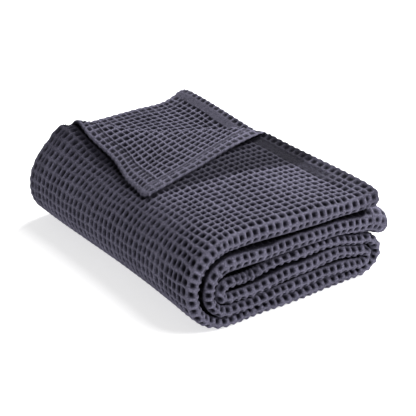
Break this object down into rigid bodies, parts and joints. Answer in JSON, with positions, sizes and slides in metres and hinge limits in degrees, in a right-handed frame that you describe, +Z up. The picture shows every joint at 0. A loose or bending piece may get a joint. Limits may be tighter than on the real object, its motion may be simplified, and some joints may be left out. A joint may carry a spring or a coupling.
{
  "type": "folded waffle weave blanket",
  "caption": "Square waffle weave cotton blanket, folded into a soft rectangular stack with rounded folds at one side and its top corner turned back.",
  "frame": {"origin": "bottom centre of the folded blanket's bounding box, on the surface it lies on", "axes": "+Y along the fold's long side, from the folded edges to the hems; +X across the stack, from the big round fold to the free ends; +Z up through the layers"},
  "size_m": [0.4252, 0.5826, 0.2045],
  "materials": {
    "cotton": "matt dark slate cotton in a deep waffle weave, with soft raised ridges round each cell"
  },
  "bodies": {
    "root": {"blanket": "cotton"}
  },
  "joints": []
}
